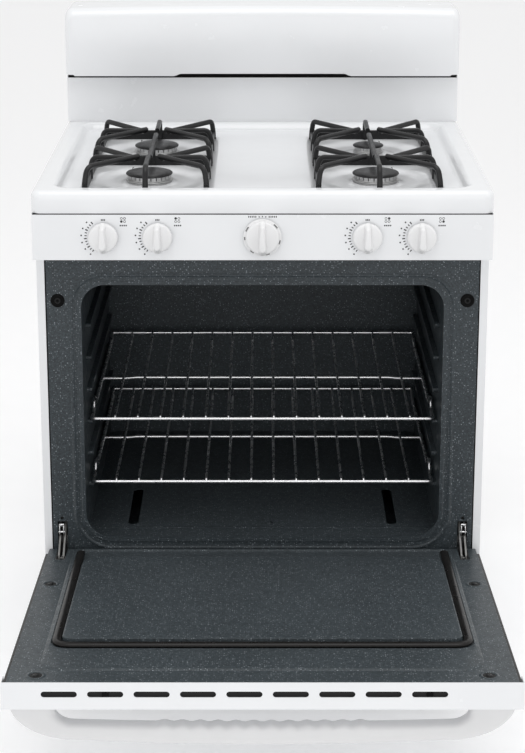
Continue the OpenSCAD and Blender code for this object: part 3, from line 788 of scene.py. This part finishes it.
def build_canopy():
    """The canopy: a box with a broad front radius, a crowned top and round ends."""
    low, high = limits("backguard_canopy")
    shape = Shape()
    rings = []
    stations = sorted(edge_grid(low.x, high.x, CANOPY_END, CANOPY_END, 26)
                      + [s * x for s in (-1, 1) for x in CANOPY_STEPS])
    for x in stations:
        from_end = min(x - low.x, high.x - x)
        inside = CANOPY_END ** 2 - max(CANOPY_END - from_end, 0) ** 2
        shrink = CANOPY_END - math.sqrt(max(inside, 0))
        top = high.z - CANOPY_CROWN * (x / high.x) ** 2 - shrink
        front = low.y + shrink * 0.55
        vent = float(step((VENT_HALF - abs(x)) / 14))
        end = float(step((abs(x) - END_NOTCH_X) / 3))
        bottom = low.z + CANOPY_LIP + VENT_NOTCH * vent + END_NOTCH * end
        outline = [(front, bottom + 1.2), (front + 0.4, bottom), (high.y, bottom), (high.y, top)]
        outline += arc((front + CANOPY_FRONT, top - CANOPY_FRONT), CANOPY_FRONT, 90, 180, 9)
        rings.append([(x, y, z) for y, z in outline])
    shape.loops(rings, True, True)
    piece = shape.build("canopy_shell", BODY, "range_body", "white_enamel", smooth=50)
    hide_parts("backguard_canopy")


# ---- controls ----

KNOBS = ("1", "2", "oven", "3", "4")
WORKS = {"1": (0, 0), "2": (0, 1), "3": (1, 1), "4": (1, 0)}  # each knob's burner: (column, row)
INK_PROUD = 0.06
KNOB_R = 24.5
OVEN_KNOB_R = 28
SKIRT_FACE = 2.42
DOT_PITCH = 5.2
DASH_PITCH = 3.2
OVEN_DASH_PITCH = 2.9
SCALE_START = -38
SCALE_STEP = -9.6


def knob_centre(name):
    """The middle of a knob's back."""
    low, high = limits(f"knob_{name}")
    return (low.x + high.x) / 2, high.y, (low.z + high.z) / 2


def grip_outline(r, shrink, draw):
    """The grip from the front: a bar with round ends, a little wider below; draw shortens it."""
    low_r, high_r = 6.4 - shrink, 4.6 - shrink
    low_z, high_z = -r + 6.4 + draw, r - 4.6 - draw * 0.4
    tilt = math.degrees(math.asin((low_r - high_r) / (high_z - low_z)))
    return (arc((0, low_z), low_r, 180 - tilt, 360 + tilt, 16)
            + arc((0, high_z), high_r, tilt, 180 - tilt, 12))


def build_knob(name):
    """A round knob with a raised grip; the oven's knob also has a skirt with marks."""
    x, back, z = knob_centre(name)
    tall = back - limits(f"knob_{name}")[0].y
    r = OVEN_KNOB_R if name == "oven" else KNOB_R
    shape = Shape()
    if name == "oven":
        lathe(shape, [(4, 0), (30.9, 0), (31.5, 0.5), (31.4, 1.6), (30.6, 2.2), (20, 2.4)],
              (x, back, z), "Y", 96)
    lathe(shape, [(4, 0.2), (r - 0.5, 0.2), (r, 0.8), (r - 0.2, 5.5), (r - 0.7, 7.6),
                  (r - 1.8, 8.9), (r - 4, 9.6), (TINY, 10.2)], (x, back, z), "Y", 96)
    rings = []
    for height, shrink, draw in ((6, -2.2, 0), (9.6, -1.6, 0), (10.6, -0.6, 0.3), (12.5, 0, 0.8),
                                 (tall - 4, 0.5, 5.2), (tall - 1.6, 0.9, 6.2), (tall - 0.5, 1.6, 7),
                                 (tall, 2.8, 7.8)):
        outline = grip_outline(r - 0.6, shrink, draw)
        rings.append([(x + px, back - height, z + pz) for px, pz in outline])
    shape.loops(rings, True, True)
    piece = shape.build(f"knob_{name}_moulding", BODY, f"knob_{name}", "white_plastic", smooth=45)
    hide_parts(f"knob_{name}")
    if name == "oven":
        build_skirt_marks(x, back - SKIRT_FACE, z)


def build_skirt_marks(x, y, z):
    """Groups of short marks round the oven knob's skirt."""
    marks = Shape()
    for middle, count in ((48, 5), (105, 4), (163, 4), (216, 4), (268, 3), (300, 5)):
        for i in range(count):
            tick(marks, x, y, z, 30.4, 28.2, middle + (i - (count - 1) / 2) * 3.4, 0.62)
    marks.build("oven_knob_marks", BODY, "knob_oven", "black_plastic", INK)


def tick(shape, x, y, z, outer, inner, angle, half):
    """A short printed line that points at the knob's centre."""
    a = math.radians(angle)
    along, across = (math.sin(a), math.cos(a)), (math.cos(a), -math.sin(a))
    ring = [(x + along[0] * r + across[0] * s * half, z + along[1] * r + across[1] * s * half)
            for r, s in ((inner, -1), (inner, 1), (outer, 1), (outer, -1))]
    shape.loops(upright_rings(ring, (y, y - INK_PROUD)), True, True)


def dot(shape, x, y, z, r, hole=0.0):
    """A printed dot, or a ring."""
    outer = upright_rings(arc((x, z), r, 0, 345, 23), (y, y - INK_PROUD))
    if hole:
        shape.loops(outer + upright_rings(arc((x, z), hole, 0, 345, 23), (y - INK_PROUD, y)))
    else:
        shape.loops(outer, True, True)


def flame_scale(marks, x, face, z):
    """The strokes of a burner knob's scale: twelve on its left and three at the top."""
    for i in range(12):
        angle = SCALE_START + i * SCALE_STEP
        long = i % 3 == 0
        tick(marks, x, face, z, 32 if long else 31, 27.4, angle, 1.0 if long else 0.8)
        if i % 2:
            tick(marks, x, face, z, 37.6, 35.2, angle, 1.2)
    for i in (-1, 0, 1):
        tick(marks, x, face, z, 30, 27.4, i * 5, 0.9)


def build_marks():
    """The marks printed on the panel: scales, and dots that say which burner a knob works."""
    face = limits("control_panel")[0].y
    marks = Shape()
    for name in KNOBS:
        x, _, z = knob_centre(name)
        if name == "oven":
            for i in (-1, 0, 1):
                tick(marks, x, face, z, 35.6, 33.2, i * 9, 0.7)
            for side in (-1, 1):
                for i in range(5):
                    dash_x = x + side * (11 + i * OVEN_DASH_PITCH)
                    tick(marks, dash_x, face, z + 34, 1.4, -1.4, 0, 0.8)
            continue
        flame_scale(marks, x, face, z)
        for i in range(2):
            for k in range(2):
                hole = 0 if WORKS[name] == (i, k) else 1.35
                dot(marks, x + 30 + i * DOT_PITCH, face, z + 26 + k * DOT_PITCH, 2.1, hole)
        for i in range(4):
            tick(marks, x + 28.2 + i * DASH_PITCH, face, z + 19.2, 1.2, -1.2, 0, 1.1)
    marks.build("panel_marks", BODY, "range_body", "black_plastic", INK)


# ---- door ----

DOOR_FLAT = 14.0
FLAT_HALF = 334
SLOT = (338, 355)
SLOT_TOP = 35
LIP_X = 368.6
SCREWS = ((349, 150), (329, 513))
GASKET_X = 312.2
GASKET_FRONT = 408.6
GASKET_Y = 17.2
GASKET_SIZE = (7.2, 4.3)
VENT_RIBS = (-226.4, 241.2)


def door_level(half, low, high, r_low, r_high, y):
    """One outline of the pressing, at the depth y."""
    return [(x, y, z) for x, z in rounded_rect(-half, half, low, high, r_low, r_high, 10)]


def build_door_inner():
    """The pressed inner panel: edge flange, front ramp, gasket channel and raised field."""
    low, high = limits("door_inner_panel", DOOR)
    flat = DOOR_FLAT
    field = high.y
    shape = Shape()
    levels = (
        (FLAT_HALF, low.z, high.z, 0.001, 0.001, flat),
        (329.6, -15.5, 498, 14, 35, flat),
        (328.6, -14.5, 496.8, 14, 34, flat),
        (327.8, -14, 496, 14, 34, flat),
        (326.8, -13, 494.6, 13, 33, flat + 0.8),
        (325.4, -12, 492, 13, 32, flat + 1.9),
        (324.4, -11, 489, 12, 31, flat + 2.1),
        (322.4, -8, 450, 11, 27, flat + 2.7),
        (320.6, -6, 423, 10, 25, flat + 3.2),
        (319.9, -5, 421.2, 10, 24.5, flat + 2.9),
        (319.6, -4, 420.7, 10, 24, flat + 0.3),
        (305, 9, 398.6, 46, 14, flat + 0.3),
        (304.4, 11, 398, 47, 13.6, flat + 0.8),
        (304.1, 30, 397.7, 44, 13.3, flat + 1.4),
        (303.9, 40, 397.4, 42, 13.1, field - 1.2),
        (303.2, 42.6, 396.8, 40, 12.6, field - 0.3),
        (302.2, 45, 395.8, 39, 12, field),
        (301.2, 47, 394.8, 38, 11, field),
        (290, 66, 385, 30, 8, field),
    )
    shape.loops([door_level(*level) for level in levels], False, True)
    for side in (-1, 1):
        door_flange(shape, side, low.z, high.z)
    # the paler door porcelain paints light on the door's inner face
    piece = shape.build("door_inner_pressing", DOOR, "oven_door", "grey_porcelain",
                        MATERIALS["door_porcelain"], smooth=28, solid=1.2, facing=(0, 1, 0))
    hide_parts("door_inner_panel")


def door_flange(shape, side, low, high):
    """The flat beside the pressing, with the hinge slot left open, and the lip that turns down."""
    slot_in, slot_out = SLOT
    lip = LIP_X + 0.8
    for outline in (((FLAT_HALF, low), (slot_in, low), (slot_in, SLOT_TOP), (slot_in, high),
                     (FLAT_HALF, high)),
                    ((slot_in, SLOT_TOP), (slot_out, SLOT_TOP), (slot_out, high), (slot_in, high)),
                    ((slot_out, low), (LIP_X, low), (LIP_X, high), (slot_out, high),
                     (slot_out, SLOT_TOP)),
                    ((LIP_X, low), (lip, low), (lip, high), (LIP_X, high))):
        shape.add([(side * x, DOOR_FLAT, z) for x, z in outline], [tuple(range(len(outline)))])
    turn = [(lip, DOOR_FLAT), (lip + 0.4, DOOR_FLAT - 0.3), (lip + 0.55, DOOR_FLAT - 0.9),
            (lip + 0.55, 5.0)]
    points = [(side * x, y, z) for z in (low, high) for x, y in turn]
    shape.add(points, [(c, c + 1, c + 5, c + 4) for c in range(3)])


def build_door_trim():
    """Dark strips along the door's sides; black strips that paint the shade under the vent slots and in the seam
    along the panel's top; and near-black ribs in the slots.
    """
    low, high = limits("door_inner_panel", DOOR)
    edge = limits("door_outer_panel", DOOR)[1].z
    sides, slot_shade, ribs, seam_shade = Shape(), Shape(), Shape(), Shape()
    for s in (-1, 1):
        side_block(sides, s, 370.2, 376.6, (3.9, low.z + 1), (5.2, high.z - 2))
    sides.build("door_side_strips", DOOR, "oven_door", "black_plastic", SEAL)
    # a black strip that paints the shade inside the vent slots
    block(slot_shade, (-330, -14, edge - 4.6), (330, 5, edge - 3.0))
    slot_shade.build("vent_slot_painted_shade", DOOR, "oven_door", "black_plastic")
    for x in VENT_RIBS:
        block(ribs, (x - 5, -10, edge - 3.0), (x + 5, 2, edge - 1.2))
    ribs.build("vent_slot_ribs", DOOR, "oven_door", "black_plastic", BLACK_AND_SHADE)
    # a black line that paints the shade in the seam
    block(seam_shade, (-369, 11.5, high.z + 0.05), (369, 13.9, high.z + 0.75))
    seam_shade.build("door_top_seam_painted_shade", DOOR, "oven_door", "black_plastic", BLACK_AND_SHADE)


def build_gasket():
    """A dark rope round three sides of the raised field."""
    shape = Shape()
    path = [(-GASKET_X, GASKET_Y, 10), (-GASKET_X, GASKET_Y, GASKET_FRONT),
            (GASKET_X, GASKET_Y, GASKET_FRONT), (GASKET_X, GASKET_Y, 10)]
    across, up = GASKET_SIZE
    section = [(a * across, b * up) for a, b in round_section(1, 16)]
    sweep(shape, filleted(path, 22, 8), section)
    piece = shape.build("gasket_rope", DOOR, "oven_door", "braided_gasket", SEAL, smooth=60)
    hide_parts("door_gasket")


def lathe_door(shape, profile, x, z):
    """A turned form that stands on the flat of the door's inner face."""
    around = np.linspace(0, 2 * math.pi, 24, endpoint=False)
    shape.loops([[(x + r * math.cos(a), DOOR_FLAT + h, z + r * math.sin(a)) for a in around]
                 for r, h in profile], True, True)


def build_door_screws():
    """Four pressed rings, a black disc in each that paints the shade of its recess, and a small screw head in
    each.
    """
    rims, recess_shades, heads = Shape(), Shape(), Shape()
    rim = [(15.2, 0.0), (14.0, 0.35), (12.4, 1.0), (11.2, 1.1), (9.8, 0.4), (9.0, 0.0)]
    recess = [(9.9, 0.0), (9.8, 0.25), (TINY, 0.15)]
    head = [(4.8, 0.1), (4.8, 0.7), (3.6, 1.4), (1.6, 1.5), (1.0, 0.9), (TINY, 0.9)]
    for s in (-1, 1):
        for x, z in SCREWS:
            for shape, profile in ((rims, rim), (recess_shades, recess), (heads, head)):
                lathe_door(shape, profile, s * x, z)
    # the rims share the paler door porcelain, painted light
    rims.build("door_dimple_rims", DOOR, "oven_door", "grey_porcelain",
               MATERIALS["door_porcelain"], smooth=60)
    # the black discs paint the shade in the recesses
    recess_shades.build("door_dimple_painted_shade", DOOR, "oven_door", "black_plastic", smooth=60)
    heads.build("door_screw_heads", DOOR, "oven_door", "black_enamel")


# ---- handle ----

BOW_HALF = 274
HANDLE_END = 369
OUTER_RUN = 95  # the length of an end's curve
HANDLE_OUT = 56
OUTER_BOW = 7.5
INNER_END = 302
INNER_RUN = 27
INNER_OUT = 31
INNER_BOW = 4.2
INNER_STRAIGHT = 10.5
STRAIGHT_SHARE = 0.35  # of the inner end's points, those that leave the door at a right angle
RIPPLE_DEPTH = 1.5
RIPPLE_PITCH = 26
RIPPLE_START = 156
RIPPLE_HALF = 165
SQUARING = 0.55


def handle_curves():
    """The handle's outer and inner contours as matched points, (x, distance from the door)."""
    quarter = math.pi / 2
    outer = [(-HANDLE_END + OUTER_RUN * (1 - math.cos(a)), HANDLE_OUT * math.sin(a))
             for a in np.linspace(0, quarter, 14)]
    inner = []
    for t in np.linspace(0, 1, 14):
        if t < STRAIGHT_SHARE:
            inner.append((-INNER_END, INNER_STRAIGHT * t / STRAIGHT_SHARE))
        else:
            a = quarter * (t - STRAIGHT_SHARE) / (1 - STRAIGHT_SHARE)
            inner.append((-INNER_END + INNER_RUN * (1 - math.cos(a)),
                          INNER_STRAIGHT + (INNER_OUT - INNER_STRAIGHT) * math.sin(a)))
    bow_outer, bow_inner = [], []
    for x in np.linspace(-BOW_HALF, BOW_HALF, 122)[1:-1]:
        bow = 1 - (x / BOW_HALF) ** 2
        wave = 1 - math.cos(2 * math.pi * (x + RIPPLE_START) / RIPPLE_PITCH)
        ripple = RIPPLE_DEPTH * wave * float(step((RIPPLE_HALF - abs(x)) / 14))
        bow_outer.append((x, HANDLE_OUT + OUTER_BOW * bow))
        bow_inner.append((x, INNER_OUT + INNER_BOW * bow - ripple))
    return [end + middle + [(-x, d) for x, d in reversed(end)]
            for end, middle in ((outer, bow_outer), (inner, bow_inner))]


def build_handle():
    """A moulded bow handle: every station is a rounded section between the two contours."""
    low, high = limits("door_handle", DOOR)
    face = high.y
    middle_z = (low.z + high.z) / 2
    half_z = (high.z - low.z) / 2
    rings = []
    for outer, inner in zip(*handle_curves()):
        centre = (Vector(outer) + Vector(inner)) / 2
        reach = (Vector(outer) - Vector(inner)) / 2
        ring = []
        for i in range(24):
            a = 2 * math.pi * i / 24
            across, up = squared(math.cos(a)), squared(math.sin(a))
            p = centre + reach * across
            ring.append((p.x, face - p.y, middle_z + half_z * up))
        rings.append(ring)
    shape = Shape()
    shape.loops(rings, True, True)
    # the darker handle plastic paints shade on the handle
    piece = shape.build("handle_moulding", DOOR, "oven_door", "white_plastic",
                        MATERIALS["handle_plastic"], smooth=60)
    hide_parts("door_handle")


def squared(t):
    """Pushes a sine or cosine out, so that a circle becomes a square with round corners."""
    return math.copysign(abs(t) ** SQUARING, t)


# ---- oven ----

MOUTH_HALF = 305
MOUTH_LOW = 291.5
MOUTH_HIGH = 750
# how far outside the mouth, and the depth there
MOUTH_STEPS = ((22, -0.15), (20.6, -0.4), (18.6, -1.7), (17, -2.0), (15.4, -1.7), (13, 0.5),
               (11, 1.4), (8, 1.4), (6.4, 0.3), (4.6, -0.1), (2.8, 0.3), (0.8, 2.0), (0.2, 4.5),
               (0.2, 9))
PLUG = (344, 723)
CATCH_X = (343.4, 352)
CATCH_SHEET = 1.8
CATCH_TOP = 321
CATCH_PIN_Z = 306
RACK_WIRES = 14
RACK_PITCH = 39.5
RACK_INSET = 3.3  # from a rack's box to the axis of its frame's wire
RACK_BACK_RISE = 14
RACK_STOP_RISE = 17
RACK_MIDDLE_Y = 273


def build_mouth():
    """The pressed edge of the oven mouth: two soft steps, and a roll into the cavity."""
    shape = Shape()
    rings = []
    for out, y in MOUTH_STEPS:
        half = MOUTH_HALF + out
        outline = rounded_rect(-half, half, MOUTH_LOW - out, MOUTH_HIGH + out,
                               46 + out, 38 + out, 12)
        rings.append([(x, y, z) for x, z in outline])
    shape.loops(rings)
    shape.build("oven_mouth_roll", BODY, "range_body", "grey_porcelain",
                smooth=60, solid=0.6, facing=(0, -1, 0))


def build_plugs():
    """Round rubber plugs in the front frame, each with a raised ring."""
    plugs, rings = Shape(), Shape()
    for s in (-1, 1):
        centre = (s * PLUG[0], 0, PLUG[1])
        lathe(plugs, [(TINY, 1.6), (8, 1.6), (9.6, 2.4), (11.2, 1.6), (11.8, 0.4), (11.8, 0.05),
                      (TINY, 0.0)], centre, "Y", 40)
        lathe(rings, [(2.6, 1.5), (3.2, 2.3), (4.6, 2.3), (5.2, 1.5)], centre, "Y", 32)
    plugs.build("frame_plugs", BODY, "range_body", "black_plastic", BLACK_AND_SHADE)
    rings.build("frame_plug_rings", BODY, "range_body", "black_plastic")


def build_catches():
    """A plated catch with its pin over each hinge arm."""
    catches, bodies = Shape(), Shape()
    inner, outer = CATCH_X
    for s in (-1, 1):
        for x in (inner, outer - CATCH_SHEET):
            side_block(catches, s, x, x + CATCH_SHEET, (-6.5, 302), (0.2, CATCH_TOP))
        side_block(catches, s, inner, outer, (-6.5, CATCH_TOP - 4), (-4.5, CATCH_TOP + 0.5))
        rod(catches, [(s * x, -4.5, CATCH_PIN_Z) for x in (inner - 1, outer + 1)], 1.8, steps=16)
        side_block(bodies, s, inner + 1.9, outer - 1.9, (-3, 300), (0.1, 318))
    catches.build("hinge_catches", BODY, "range_body", "chrome_wire", smooth=50)
    bodies.build("hinge_catch_bodies", BODY, "range_body", "black_plastic", BLACK_AND_SHADE)


def build_rack(name):
    """A wire rack: a bent frame with stops at its sides, three cross bars and fourteen wires."""
    low, high = limits(name)
    z = low.z + RACK_INSET
    stop_z, back_z, wire_z = z + RACK_STOP_RISE, z + RACK_BACK_RISE, z + 4.6
    side = high.x - RACK_INSET
    front, rear = low.y + RACK_INSET, high.y - RACK_INSET
    shape = Shape()
    for s in (-1, 1):
        x, corner = s * side, s * (side - 14)
        rod(shape, [(corner, front, z), (x, front, z), (x, front + 38, z), (x, front + 50, stop_z),
                    (x, front + 66, stop_z), (x, front + 80, z), (x, rear - 18, z),
                    (x, rear, back_z), (s * (side - 10), rear, back_z)], 3.2, 10)
    rod(shape, [(-side + 12, front, z), (side - 12, front, z)], 3.25)
    rod(shape, [(-side + 8, rear, back_z), (side - 8, rear, back_z)], 3.0)
    middle = [(-side, z - 0.4), (-side + 46, z - 0.4), (-side + 60, z + 1.4)]
    middle += [(-x, level) for x, level in reversed(middle)]
    rod(shape, [(x, RACK_MIDDLE_Y, level) for x, level in middle], 3.0, 6)
    for i in range(RACK_WIRES):
        x = (i - (RACK_WIRES - 1) / 2) * RACK_PITCH
        rod(shape, [(x, front - 0.6, z + 0.2), (x, front + 3, wire_z), (x, rear - 22, wire_z),
                    (x, rear - 1, z + 15)], 2.35, 6, 10)
    piece = shape.build(f"{name}_wires", BODY, name, "chrome_wire", smooth=60)
    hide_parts(name)


def build_painted_gap_shade():
    """Black strips that paint the shade in the gap under the cooktop's lip, under the canopy and beside the frame,
    and the frame's edges.
    """
    gap_shades, edges = Shape(), Shape()
    panel_low, panel_high = limits("control_panel")
    block(gap_shades, (-377, panel_low.y - 0.1, panel_high.z - 1.4),
          (377, panel_low.y + 4, panel_high.z + 1.0))
    riser = limits("backguard")[0].y
    block(gap_shades, (-375.5, riser - 0.4, 1006.6), (375.5, riser + 6, 1012.8))
    low, high = limits("front_frame")
    for s in (-1, 1):
        side_block(gap_shades, s, 359.4, 364.6, (1.2, low.z), (2.6, high.z))
        side_block(edges, s, 356.5, 362.8, (0.05, low.z + 1), (1.25, high.z - 1))
    # the black strips paint shade; the edges keep the frame's own grey porcelain
    gap_shades.build("gap_painted_shade", BODY, "range_body", "black_plastic", BLACK_AND_SHADE)
    edges.build("front_frame_edges", BODY, "range_body", "grey_porcelain")


# ---- the scene ----

add_camera()
add_studio()
dress_nodes()
soften(1.6, "control_panel", "door_outer_panel", "drawer_front")
soften(2.5, "backguard")
soften(0.8, "side_panel_left", "side_panel_right")
build_cooktop()
build_burners()
build_electrodes()
build_grate("grate_left", -BURNER_X)
build_grate("grate_right", BURNER_X)
build_canopy()
for knob in KNOBS:
    build_knob(knob)
build_marks()
build_door_inner()
build_door_trim()
build_gasket()
build_door_screws()
build_handle()
build_mouth()
build_plugs()
build_catches()
build_painted_gap_shade()
build_rack("rack_upper")
build_rack("rack_lower")
